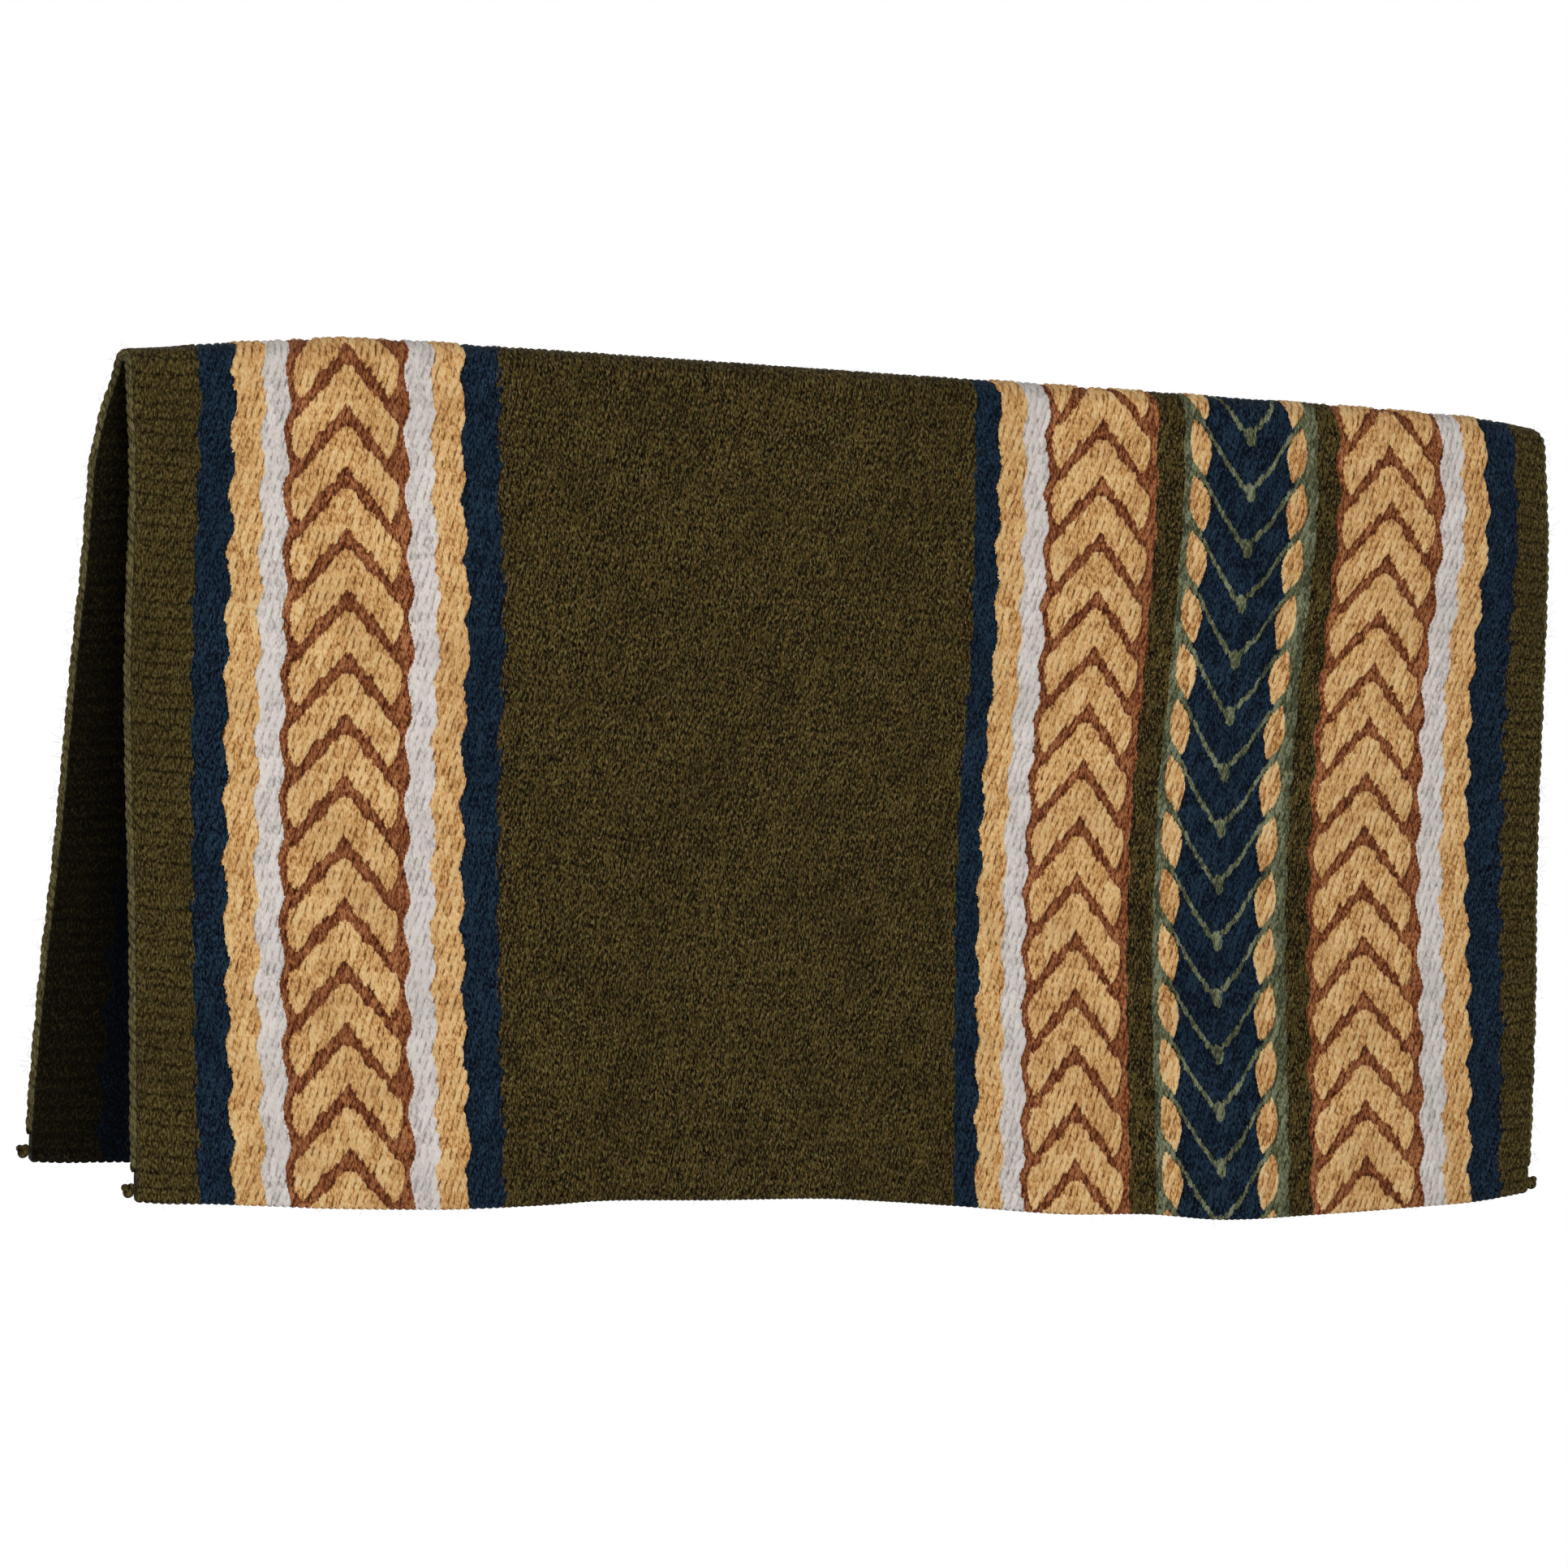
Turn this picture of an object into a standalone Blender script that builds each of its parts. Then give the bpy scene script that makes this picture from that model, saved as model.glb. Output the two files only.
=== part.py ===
"""Folded wool saddle blanket, hanging over a bar that is not part of it.

One weaving of 25 colour bands on a sheet of warp cords, with a twined cord
along each end and a small knot at each corner. X runs along the fold, the
front flap hangs towards -Y, and the origin is the underside of the fold.
"""
import bpy
import bmesh
from math import cos, pi, radians, sin
from mathutils import Vector

# Main sizes in metres: 34 inches along the fold, 37 inches from hem to hem.
BLANKET_LENGTH = 0.864
FLAT_WIDTH = 0.938
CLOTH_THICKNESS = 0.006
FOLD_RADIUS = 0.011
FLAP_LEAN = radians(8.8)

# The warp cords run inside every band, in a slot that is open at its sides.
WARP_THICKNESS = 0.0018
WARP_CLEARANCE = 0.0003
WARP_MARGIN = 0.004
BAND_GAP = 0.0003

# The twined end cords and the knots at the corners.
END_CORD_RADIUS = 0.0034
END_CORD_STOP = 0.016
CORD_SIDES = 10
KNOT_RADIUS = 0.0042
KNOT_RISE = 0.0065
KNOT_RINGS = 6

# How the cloth hangs: waves deepen towards the hems.
FRONT_WAVE = 0.0030
BACK_WAVE = 0.0045
FRONT_WAVE_COUNT = 2.3
BACK_WAVE_COUNT = 1.7
FRONT_WAVE_PHASE = 0.8
BACK_WAVE_PHASE = 2.4
WAVE_POWER = 1.6
HEM_ROUND = 0.0022
HEM_ROUND_SHARE = 0.62

# Number of straight runs down each flap, round the fold and across the field.
FLAP_STEPS = 6
FOLD_STEPS = 6
FIELD_STEPS = 5

# Fall of the crown towards the ends of the fold, as shares of the length.
CROWN_PLACE_SHARES = (-0.5, -0.475, -0.45, -0.425, -0.39, -0.355, -0.30, 0.0, 0.30, 0.40, 0.46, 0.5)
CROWN_FALL_SHARES = (0.0170, 0.0145, 0.0106, 0.0078, 0.0042, 0.0010, 0.0, 0.0, 0.0004, 0.0016, 0.0035, 0.0085)

# Where each hem dips below or stays above its mean, as shares of the half width.
HEM_PLACE_SHARES = (-0.5, -0.452, -0.405, -0.358, -0.296, -0.235, -0.185, -0.11, -0.03, 0.02,
                    0.073, 0.145, 0.207, 0.263, 0.33, 0.404, 0.46, 0.5)
HEM_FALL_SHARES = (-0.034, -0.0195, -0.007, 0.004, 0.006, 0.001, -0.0054, -0.006, -0.007, -0.003,
                   0.0026, 0.0108, 0.010, 0.016, 0.010, 0.0, -0.011, -0.032)

# Sideways wander of the stripes down a flap, as shares of the length:
# one row for each place along the fold, one column for each depth.
WANDER_DEPTH_SHARES = (0.0, 0.12, 0.31, 0.44, 0.57, 0.70, 0.92)
WANDER_PLACE_SHARES = (-0.5, -0.44, -0.31, 0.095, 0.22, 0.305, 0.45, 0.5)
WANDER_SHARES = (
    (-0.0055, -0.0020, -0.0034, -0.0022, 0.0010, 0.0028, 0.0048),
    (0.0005, -0.0005, -0.0025, -0.0022, -0.0015, 0.0005, 0.0062),
    (-0.0045, -0.0040, 0.0007, -0.0013, -0.0010, 0.0001, 0.0054),
    (0.0095, 0.0089, 0.0058, -0.0006, -0.0041, -0.0050, -0.0050),
    (0.0170, 0.0159, 0.0059, -0.0022, -0.0065, -0.0080, -0.0050),
    (0.0178, 0.0175, 0.0045, -0.0025, -0.0066, -0.0074, -0.0054),
    (0.0100, 0.0123, -0.0006, -0.0034, -0.0045, -0.0023, -0.0014),
    (0.0045, 0.0070, 0.0040, 0.0006, -0.0016, -0.0025, -0.0074),
)

# The right end band is a little wider than its stripe, as a share of the length.
RIGHT_GROWTH_SHARE = 0.0072
RIGHT_GROWTH_START_SHARE = 0.464

# The back flap's left end stands further out than the front one.
BACK_PULL_START_SHARE = 0.30
BACK_PULL_DEPTH_SHARES = (0.0, 0.05, 0.107, 0.16, 0.256, 0.45, 0.6, 0.7, 0.9, 1.0)
BACK_PULL_SHARES = (0.0, 0.0080, 0.0130, 0.0125, 0.0104, 0.0106, 0.0135, 0.0155, 0.0155, 0.0112)
BACK_DROP_SHARE = 0.0046

# The colour bands from left to right, with their widths as parts of 865.
BAND_SHARES = (
    ("olive_end_band_left", "olive_wool", 36.3),
    ("navy_band_1", "navy_wool", 19.0),
    ("gold_band_1", "gold_wool", 17.0),
    ("silver_band_1", "silver_wool", 14.3),
    ("chevron_band_1", "rust_wool", 70.3),
    ("silver_band_2", "silver_wool", 14.6),
    ("gold_band_2", "gold_wool", 17.2),
    ("navy_band_2", "navy_wool", 20.0),
    ("olive_field", "olive_wool", 279.6),
    ("navy_band_3", "navy_wool", 14.3),
    ("gold_band_3", "gold_wool", 15.4),
    ("silver_band_3", "silver_wool", 13.8),
    ("chevron_band_2", "rust_wool", 66.6),
    ("olive_band_1", "olive_wool", 16.3),
    ("sage_band_1", "sage_wool", 4.0),
    ("lozenge_band_1", "gold_wool", 14.5),
    ("navy_centre_band", "navy_wool", 46.5),
    ("lozenge_band_2", "gold_wool", 16.0),
    ("sage_band_2", "sage_wool", 5.5),
    ("olive_band_2", "olive_wool", 14.6),
    ("chevron_band_3", "rust_wool", 73.2),
    ("silver_band_4", "silver_wool", 15.1),
    ("gold_band_4", "gold_wool", 17.1),
    ("navy_band_4", "navy_wool", 20.1),
    ("olive_end_band_right", "olive_wool", 23.3),
)

# Wool colours as linear red, green and blue, with the roughness of dry wool.
WOOL_COLOURS = {
    "olive_wool": (0.048, 0.037, 0.012),
    "navy_wool": (0.010, 0.022, 0.060),
    "gold_wool": (0.560, 0.310, 0.110),
    "silver_wool": (0.540, 0.500, 0.520),
    "rust_wool": (0.210, 0.075, 0.022),
    "sage_wool": (0.110, 0.140, 0.080),
    "warp_wool": (0.420, 0.360, 0.270),
}
WOOL_ROUGHNESS = 0.95

# Edges sharper than this stay crisp when the faces are shaded smooth.
SMOOTH_ANGLE = radians(40)


def clear_scene():
    for item in list(bpy.data.objects):
        bpy.data.objects.remove(item, do_unlink=True)


def wool(slot):
    material = bpy.data.materials.new(slot)
    material.use_nodes = True
    shader = material.node_tree.nodes["Principled BSDF"]
    shader.inputs["Base Color"].default_value = (*WOOL_COLOURS[slot], 1)
    shader.inputs["Roughness"].default_value = WOOL_ROUGHNESS
    shader.inputs["Metallic"].default_value = 0
    return material


def curve_value(places, values, place):
    """Smooth curve through the values, level beyond the first and last."""
    if place <= places[0]:
        return values[0]
    if place >= places[-1]:
        return values[-1]
    i = max(k for k in range(len(places) - 1) if places[k] <= place)
    slopes = []
    for k in (i, i + 1):
        low, high = max(k - 1, 0), min(k + 1, len(places) - 1)
        slopes.append((values[high] - values[low]) / (places[high] - places[low]))
    run = places[i + 1] - places[i]
    u = (place - places[i]) / run
    ease = u * u * (3 - 2 * u)
    start = slopes[0] * run * u * (1 - u) ** 2
    end = slopes[1] * run * u * u * (u - 1)
    return values[i] * (1 - ease) + values[i + 1] * ease + start + end


def half_width(along):
    share = curve_value(HEM_PLACE_SHARES, HEM_FALL_SHARES, along / BLANKET_LENGTH)
    return FLAT_WIDTH / 2 * (1 + share)


def wander(along, depth_share):
    column = [curve_value(WANDER_DEPTH_SHARES, row, depth_share) for row in WANDER_SHARES]
    return BLANKET_LENGTH * curve_value(WANDER_PLACE_SHARES, column, along / BLANKET_LENGTH)


def growth(along):
    run = 1 / 2 - RIGHT_GROWTH_START_SHARE
    return BLANKET_LENGTH * RIGHT_GROWTH_SHARE * min(max((along / BLANKET_LENGTH - RIGHT_GROWTH_START_SHARE) / run, 0), 1)


def back_pull(along, across):
    """How much of its full pull the back flap has at one place, from 0 to 1."""
    if across < 0:
        return 0
    run = 1 / 2 - BACK_PULL_START_SHARE
    return min(max((-along / BLANKET_LENGTH - BACK_PULL_START_SHARE) / run, 0), 1) ** 2


def wave(along, depth_share, across):
    front = across < 0
    height = FRONT_WAVE if front else BACK_WAVE
    count = FRONT_WAVE_COUNT if front else BACK_WAVE_COUNT
    phase = FRONT_WAVE_PHASE if front else BACK_WAVE_PHASE
    return height * depth_share ** WAVE_POWER * sin(2 * pi * count * along / BLANKET_LENGTH + phase)


def hang(along, across, lift):
    """Point of the hanging cloth.

    along is the place along the fold, across the flat distance from the crown
    (front flap negative) and lift the height over the middle of the cloth.
    """
    bend_end = pi / 2 - FLAP_LEAN
    side = -1 if across < 0 else 1
    turn = min(abs(across) / FOLD_RADIUS, bend_end)
    straight = max(abs(across) - FOLD_RADIUS * bend_end, 0)
    depth_share = min(straight * 2 / FLAT_WIDTH, 1)
    out = FOLD_RADIUS * sin(turn) + straight * cos(turn) + lift * sin(turn)
    rise = FOLD_RADIUS * (cos(turn) - 1) - straight * sin(turn) + lift * cos(turn)
    pull = BLANKET_LENGTH * back_pull(along, across)
    fall = BLANKET_LENGTH * curve_value(CROWN_PLACE_SHARES, CROWN_FALL_SHARES, along / BLANKET_LENGTH)
    return Vector((
        along + wander(along, depth_share) + growth(along) - pull * curve_value(BACK_PULL_DEPTH_SHARES, BACK_PULL_SHARES, depth_share),
        side * out + wave(along, depth_share, across),
        rise + CLOTH_THICKNESS / 2 - fall - pull * BACK_DROP_SHARE * depth_share,
    ))


def stations(along, margin):
    """Flat distances from the front hem to the back hem, close together on the fold."""
    bend = FOLD_RADIUS * (pi / 2 - FLAP_LEAN)
    last = half_width(along) - margin
    flap = [bend + (last - bend) * k / FLAP_STEPS for k in range(FLAP_STEPS, 0, -1)]
    fold = [bend - 2 * bend * k / FOLD_STEPS for k in range(FOLD_STEPS + 1)]
    return [-value for value in flap] + [-value for value in fold] + flap[::-1]


def outer_loop(along):
    """Closed outline of the cloth at one place along the fold, hems rounded."""
    half = CLOTH_THICKNESS / 2
    path = stations(along, HEM_ROUND)
    hem = half_width(along)
    lip = half * HEM_ROUND_SHARE
    top = [(-hem, lip)] + [(across, half) for across in path] + [(hem, lip)]
    return [hang(along, across, lift) for across, lift in top] + \
           [hang(along, across, -lift) for across, lift in reversed(top)]


def slot_loop(along, clearance):
    """Closed outline of the warp sheet, or of the slot round it."""
    half = WARP_THICKNESS / 2 + clearance
    path = stations(along, WARP_MARGIN - clearance)
    top = [(path[0], half)] + [(across, half) for across in path[1:-1]] + [(path[-1], half)]
    first, last = path[0] - clearance, path[-1] + clearance
    top = [(first, half)] + top + [(last, half)]
    return [hang(along, across, lift) for across, lift in top] + \
           [hang(along, across, -lift) for across, lift in reversed(top)]


def finish(name, mesh, slot):
    bmesh.ops.recalc_face_normals(mesh, faces=mesh.faces)
    data = bpy.data.meshes.new(name)
    mesh.to_mesh(data)
    mesh.free()
    data.materials.append(MATERIALS[slot])
    for face in data.polygons:
        face.use_smooth = True
    data.set_sharp_from_angle(angle=SMOOTH_ANGLE)
    item = bpy.data.objects.new(name, data)
    bpy.context.scene.collection.objects.link(item)
    return item


def bridge(mesh, first, second):
    count = len(first)
    for k in range(count):
        n = (k + 1) % count
        mesh.faces.new((first[k], first[n], second[n], second[k]))


def add_loops(mesh, loops):
    return [[mesh.verts.new(point) for point in loop] for loop in loops]


def make_band(name, slot, left, right, steps):
    """A flat woven sleeve: solid cloth with the slot of the warp through it."""
    mesh = bmesh.new()
    places = [left + (right - left) * k / steps for k in range(steps + 1)]
    outside = add_loops(mesh, [outer_loop(along) for along in places])
    inside = add_loops(mesh, [slot_loop(along, WARP_CLEARANCE) for along in places])
    for k in range(steps):
        bridge(mesh, outside[k], outside[k + 1])
        bridge(mesh, inside[k], inside[k + 1])
    bridge(mesh, outside[0], inside[0])
    bridge(mesh, outside[-1], inside[-1])
    return finish(name, mesh, slot)


def make_warp(places):
    mesh = bmesh.new()
    rings = add_loops(mesh, [slot_loop(along, 0) for along in places])
    for first, second in zip(rings, rings[1:]):
        bridge(mesh, first, second)
    for ring in (rings[0], rings[-1]):
        count = len(ring)
        for k in range(count // 2 - 1):
            mesh.faces.new((ring[k], ring[k + 1], ring[count - 2 - k], ring[count - 1 - k]))
    return finish("warp_sheet", mesh, "warp_wool")


def make_end_cord(name, woven_edge, side):
    """Round cord down both flaps at one end, stopping a little above the hems."""
    mesh = bmesh.new()
    path = stations(woven_edge, END_CORD_STOP)
    centre = side * (END_CORD_RADIUS + BAND_GAP)
    rings = []
    for across in path:
        ring = []
        for k in range(CORD_SIDES):
            angle = 2 * pi * k / CORD_SIDES
            point = hang(woven_edge, across, END_CORD_RADIUS * cos(angle))
            ring.append(point + Vector((centre + END_CORD_RADIUS * sin(angle), 0, 0)))
        rings.append(ring)
    rings = add_loops(mesh, rings)
    for first, second in zip(rings, rings[1:]):
        bridge(mesh, first, second)
    mesh.faces.new(rings[0])
    mesh.faces.new(rings[-1])
    return finish(name, mesh, "olive_wool")


def make_knot(name, woven_edge, side, flap):
    """Small round knot of the cord's end, between the cord and the corner."""
    mesh = bmesh.new()
    across = flap * (half_width(woven_edge) - KNOT_RISE)
    centre = hang(woven_edge, across, 0) + Vector((side * (KNOT_RADIUS + BAND_GAP), 0, 0))
    rings = []
    for j in range(1, KNOT_RINGS):
        tilt = pi * j / KNOT_RINGS
        ring = []
        for k in range(CORD_SIDES):
            angle = 2 * pi * k / CORD_SIDES
            spoke = Vector((sin(tilt) * cos(angle), sin(tilt) * sin(angle), cos(tilt)))
            ring.append(centre + KNOT_RADIUS * spoke)
        rings.append(ring)
    rings = add_loops(mesh, rings)
    for first, second in zip(rings, rings[1:]):
        bridge(mesh, first, second)
    for ring, pole in ((rings[0], 1), (rings[-1], -1)):
        tip = mesh.verts.new(centre + Vector((0, 0, pole * KNOT_RADIUS)))
        for k in range(CORD_SIDES):
            mesh.faces.new((ring[k], ring[(k + 1) % CORD_SIDES], tip))
    return finish(name, mesh, "olive_wool")


clear_scene()
MATERIALS = {slot: wool(slot) for slot in WOOL_COLOURS}

# The woven area lies between the two end cords.
woven_left = -BLANKET_LENGTH / 2 + 2 * END_CORD_RADIUS + BAND_GAP
woven_right = -woven_left
share_total = sum(share for _, _, share in BAND_SHARES)
edge = -BLANKET_LENGTH / 2
warp_places = []
for number, (name, slot, share) in enumerate(BAND_SHARES):
    left = max(edge + BAND_GAP / 2, woven_left)
    edge += BLANKET_LENGTH * share / share_total
    right = min(edge - BAND_GAP / 2, woven_right)
    steps = FIELD_STEPS if name == "olive_field" else 1
    make_band(name, slot, left, right, steps)
    warp_places += [left + (right - left) * k / steps for k in range(steps + 1)]

make_warp(warp_places)
for side_name, side in (("left", -1), ("right", 1)):
    woven_edge = side * woven_right
    make_end_cord(f"end_cord_{side_name}", woven_edge, side)
    make_knot(f"corner_knot_front_{side_name}", woven_edge, side, -1)
    make_knot(f"corner_knot_back_{side_name}", woven_edge, side, 1)
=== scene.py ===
"""A folded wool saddle blanket, woven, corded and hung over a bar."""
from math import cos, pi, radians, sin

import bpy
import numpy as np
from mathutils import Matrix, Vector


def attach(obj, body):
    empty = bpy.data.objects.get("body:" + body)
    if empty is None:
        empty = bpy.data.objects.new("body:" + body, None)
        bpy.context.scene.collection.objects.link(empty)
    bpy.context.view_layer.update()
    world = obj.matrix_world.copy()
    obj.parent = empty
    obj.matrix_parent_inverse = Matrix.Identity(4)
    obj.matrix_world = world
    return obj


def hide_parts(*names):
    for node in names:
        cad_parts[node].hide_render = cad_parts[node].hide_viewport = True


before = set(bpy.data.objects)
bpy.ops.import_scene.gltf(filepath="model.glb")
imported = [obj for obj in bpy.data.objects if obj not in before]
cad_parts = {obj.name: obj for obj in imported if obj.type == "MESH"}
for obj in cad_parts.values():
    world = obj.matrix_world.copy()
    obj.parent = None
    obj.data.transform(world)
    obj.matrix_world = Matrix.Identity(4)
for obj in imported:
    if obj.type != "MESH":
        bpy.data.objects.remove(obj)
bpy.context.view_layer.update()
bpy.context.scene.view_settings.view_transform = "Standard"


# Warp. About 224 hard-spun natural wool cords run side by side along the
# fold, from one end cord to the other. The weft covers them completely, so
# they only carry the cloth, and every row of weft is two cords high.
LENGTH = 0.864
FLAT_WIDTH = 0.938
THICKNESS = 0.006
FOLD_RADIUS = 0.011
LEAN = radians(8.8)
WARP_CORDS = 224
WARP_PITCH = FLAT_WIDTH / WARP_CORDS
WARP_RADIUS = 0.0008
WARP_STEPS, WARP_SIDES = 60, 5
WARP_END_ROOM, WARP_HEM_ROOM = 0.001, 0.004
CORD_WIDTH = 0.0036
WOVEN_END = LENGTH / 2 - CORD_WIDTH - 0.0001

# Places run from -0.5 at the left end to 0.5 at the right one. Values are shares
# of the length, and at the hems of half the flat width.
CROWN_PLACES = np.array((
    -0.5, -0.475, -0.45, -0.425, -0.39, -0.355, -0.30, 0.0, 0.30, 0.40, 0.46, 0.5))
CROWN_FALL = np.array((170, 145, 106, 78, 42, 10, 0, 0, 4, 16, 35, 85)) * 1e-4
HEM_PLACES = np.array((
    -0.5, -0.452, -0.405, -0.358, -0.296, -0.235, -0.185, -0.11, -0.03,
    0.02, 0.073, 0.145, 0.207, 0.263, 0.33, 0.404, 0.46, 0.5))
HEM_FALL = np.array((
    -340, -195, -70, 40, 60, 10, -54, -60, -70,
    -30, 26, 108, 100, 160, 100, 0, -110, -320)) * 1e-4
WANDER_DEPTHS = np.array((0.0, 0.12, 0.31, 0.44, 0.57, 0.70, 0.92))
WANDER_PLACES = np.array((-0.5, -0.44, -0.31, 0.095, 0.22, 0.305, 0.45, 0.5))
WANDER = np.array((
    (-55, -20, -34, -22, 10, 28, 48),
    (5, -5, -25, -22, -15, 5, 62),
    (-45, -40, 7, -13, -10, 1, 54),
    (95, 89, 58, -6, -41, -50, -50),
    (170, 159, 59, -22, -65, -80, -50),
    (178, 175, 45, -25, -66, -74, -54),
    (100, 123, -6, -34, -45, -23, -14),
    (45, 70, 40, 6, -16, -25, -74))) * 1e-4
WANDER_REACH, WANDER_STEPS, DEPTH_STEPS = 0.55, 200, 100
RIGHT_GROWTH, GROWTH_FROM, GROWTH_RUN = 0.0072, 0.464, 0.036
BACK_PULL_FROM, BACK_PULL_RUN = 0.30, 0.20
BACK_PULL_DEPTHS = np.array((0.0, 0.05, 0.107, 0.16, 0.256, 0.45, 0.6, 0.7, 0.9, 1.0))
BACK_PULL = np.array((0, 80, 130, 125, 104, 106, 135, 155, 155, 112)) * 1e-4
BACK_DROP = 0.0046
FRONT_WAVE, BACK_WAVE = (0.0030, 2.3, 0.8), (0.0045, 1.7, 2.4)  # metres deep, waves along the fold, start


def through(places, values, at):
    """Smooth curve through values at their places, level past both ends."""
    at = np.clip(at, places[0], places[-1])
    k = np.clip(np.searchsorted(places, at, side="right") - 1, 0, len(places) - 2)
    numbers = np.arange(len(places))
    low = np.maximum(numbers - 1, 0)
    high = np.minimum(numbers + 1, len(places) - 1)
    slope = (values[high] - values[low]) / (places[high] - places[low])
    run = places[k + 1] - places[k]
    u = (at - places[k]) / run
    ease = u * u * (3 - 2 * u)
    return (values[k] * (1 - ease) + values[k + 1] * ease
            + slope[k] * run * u * (1 - u) ** 2 + slope[k + 1] * run * u * u * (u - 1))


def between(table, a, b):
    """Value of a table between its entries, straight from one to the next."""
    a = np.clip(a, 0, table.shape[0] - 1.001)
    b = np.clip(b, 0, table.shape[1] - 1.001)
    i, j = a.astype(int), b.astype(int)
    a, b = a - i, b - j
    return ((table[i, j] * (1 - a) + table[i + 1, j] * a) * (1 - b)
            + (table[i, j + 1] * (1 - a) + table[i + 1, j + 1] * a) * b)


fine_depths = np.linspace(0, 1, DEPTH_STEPS + 1)
fine_places = np.linspace(-WANDER_REACH, WANDER_REACH, round(2 * WANDER_REACH * WANDER_STEPS) + 1)
wander_rows = np.stack([through(WANDER_DEPTHS, row, fine_depths) for row in WANDER])
wander_table = np.stack([through(WANDER_PLACES, column, fine_places) for column in wander_rows.T], axis=1)


def half_width(x):
    """Flat width from the crown of the fold to a hem, which waves along the fold."""
    return FLAT_WIDTH / 2 * (1 + through(HEM_PLACES, HEM_FALL, x / LENGTH))


def hang(x, t, lift):
    """Points of the hung cloth: x along the fold, t flat from the crown, lift off its middle."""
    x, t, lift = np.broadcast_arrays(x, t, lift)
    shape = x.shape
    x, t, lift = (np.ravel(v).astype(float) for v in (x, t, lift))
    bend = pi / 2 - LEAN
    side = np.where(t < 0, -1.0, 1.0)
    turn = np.minimum(np.abs(t) / FOLD_RADIUS, bend)
    straight = np.maximum(np.abs(t) - FOLD_RADIUS * bend, 0)
    depth = np.minimum(straight * 2 / FLAT_WIDTH, 1)
    out = FOLD_RADIUS * np.sin(turn) + straight * np.cos(turn) + lift * np.sin(turn)
    rise = FOLD_RADIUS * (np.cos(turn) - 1) - straight * np.sin(turn) + lift * np.cos(turn)
    places, front = x / LENGTH, t < 0
    shift = between(wander_table, (places + WANDER_REACH) * WANDER_STEPS, depth * DEPTH_STEPS)
    shift = shift + RIGHT_GROWTH * np.clip((places - GROWTH_FROM) / GROWTH_RUN, 0, 1)
    pull = np.clip((-places - BACK_PULL_FROM) / BACK_PULL_RUN, 0, 1) ** 2
    pull = np.where(front, 0, pull)
    shift = shift - pull * through(BACK_PULL_DEPTHS, BACK_PULL, depth)
    front_wave, back_wave = (
        size * np.sin(2 * pi * waves * places + start) for size, waves, start in (FRONT_WAVE, BACK_WAVE))
    wave = np.where(front, front_wave, back_wave)
    fall = through(CROWN_PLACES, CROWN_FALL, places) + BACK_DROP * pull * depth
    points = np.stack([
        x + LENGTH * shift,
        side * out + wave * depth ** 1.6,
        rise + THICKNESS / 2 - LENGTH * fall], axis=1)
    return points.reshape(shape + (3,))


def make_mesh(name, points, quads, triangles, materials, slots=None):
    """A mesh object from arrays of points and faces, shaded smooth."""
    mesh = bpy.data.meshes.new(name)
    mesh.vertices.add(len(points))
    mesh.vertices.foreach_set("co", np.ascontiguousarray(points, dtype=np.float32).ravel())
    corners = np.concatenate([np.ravel(quads), np.ravel(triangles)]).astype(np.int32)
    sizes = np.concatenate([np.full(len(quads), 4), np.full(len(triangles), 3)])
    starts = np.concatenate([[0], np.cumsum(sizes)[:-1]]).astype(np.int32)
    mesh.loops.add(len(corners))
    mesh.loops.foreach_set("vertex_index", corners)
    mesh.polygons.add(len(sizes))
    mesh.polygons.foreach_set("loop_start", starts)
    for material in materials:
        mesh.materials.append(material)
    if slots is not None:
        mesh.polygons.foreach_set("material_index", np.asarray(slots, dtype=np.int32))
    mesh.polygons.foreach_set("use_smooth", np.ones(len(sizes), dtype=bool))
    mesh.update(calc_edges=True)
    item = bpy.data.objects.new(name, mesh)
    bpy.context.scene.collection.objects.link(item)
    return item


def carry(item, name, values, where="POINT"):
    """Gives every point or face of a mesh a named number or vector for its material to read."""
    kind = "FLOAT" if values.ndim == 1 else "FLOAT_VECTOR"
    layer = item.data.attributes.new(name, kind, where)
    layer.data.foreach_set("value" if kind == "FLOAT" else "vector", values.astype(np.float32).ravel())


def flat_map(item, spots, outer):
    """A flat map of the cloth; faces between its two sides take the spot of their outer corner."""
    mesh = item.data
    corners = np.empty(len(mesh.loops), dtype=np.int32)
    mesh.loops.foreach_get("vertex_index", corners)
    starts = np.empty(len(mesh.polygons), dtype=np.int32)
    sizes = np.empty(len(mesh.polygons), dtype=np.int32)
    mesh.polygons.foreach_get("loop_start", starts)
    mesh.polygons.foreach_get("loop_total", sizes)
    lowest = np.minimum.reduceat(corners, starts)
    highest = np.maximum.reduceat(corners, starts)
    mixed = np.repeat((lowest < outer) & (highest >= outer), sizes)
    corners = np.where(mixed, np.repeat(lowest, sizes), corners)
    layer = mesh.uv_layers.new(name="OFBake")
    layer.uv.foreach_set("vector", spots[corners].astype(np.float32).ravel())


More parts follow.
